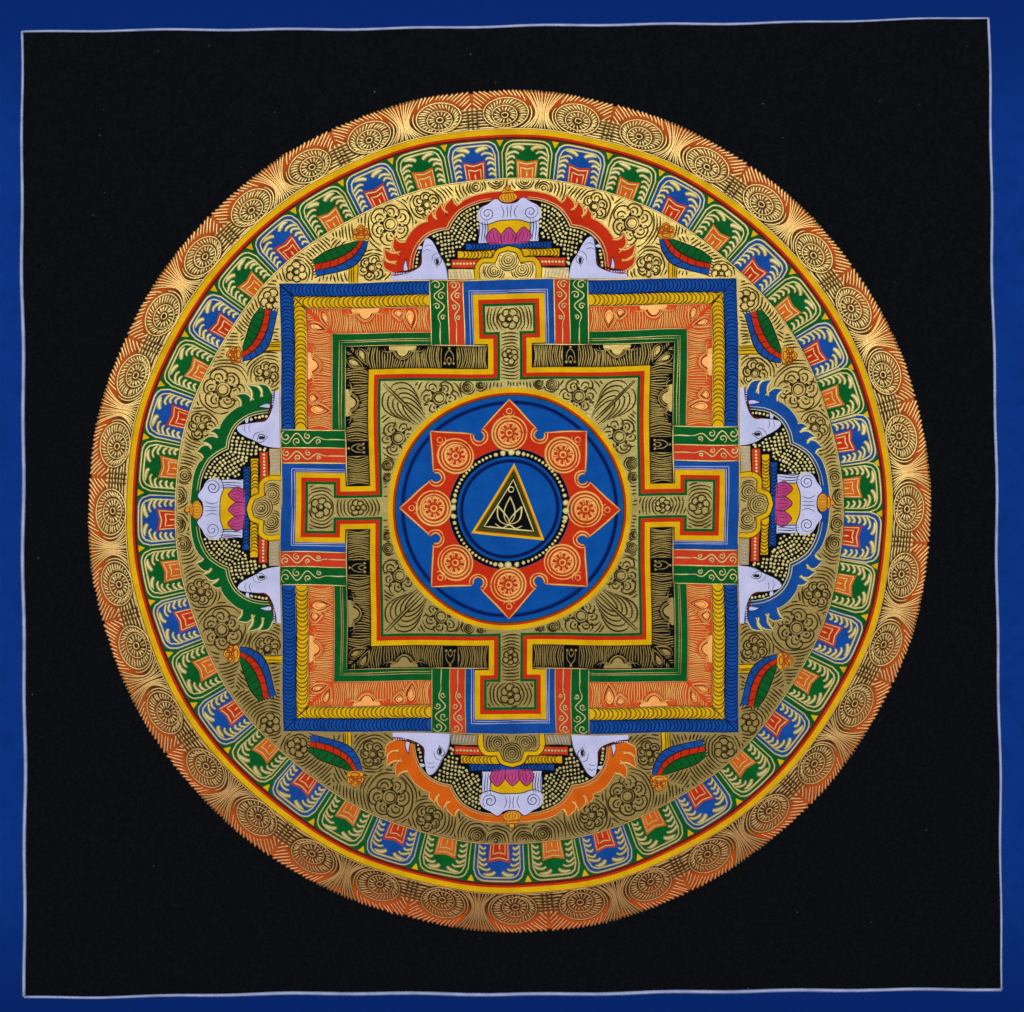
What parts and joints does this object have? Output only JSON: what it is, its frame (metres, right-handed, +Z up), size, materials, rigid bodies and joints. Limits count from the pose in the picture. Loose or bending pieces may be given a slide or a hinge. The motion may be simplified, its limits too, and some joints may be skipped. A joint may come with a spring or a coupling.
{
  "type": "mandala thangka painting on unmounted canvas",
  "caption": "Square hand-painted cotton canvas with a ringed palace mandala on black inside a blue border, hung by its top edge in soft waves.",
  "frame": {"origin": "middle of the canvas's top edge, halfway through its thickness", "axes": "+Z up along the hang, -Y out of the painted face, +X to the viewer's right"},
  "size_m": [0.4259, 0.0092, 0.4209],
  "materials": {
    "painted_cotton": "matte mineral paint on primed plain-weave cotton"
  },
  "bodies": {
    "root": {"painted_canvas": "painted_cotton"}
  },
  "joints": []
}
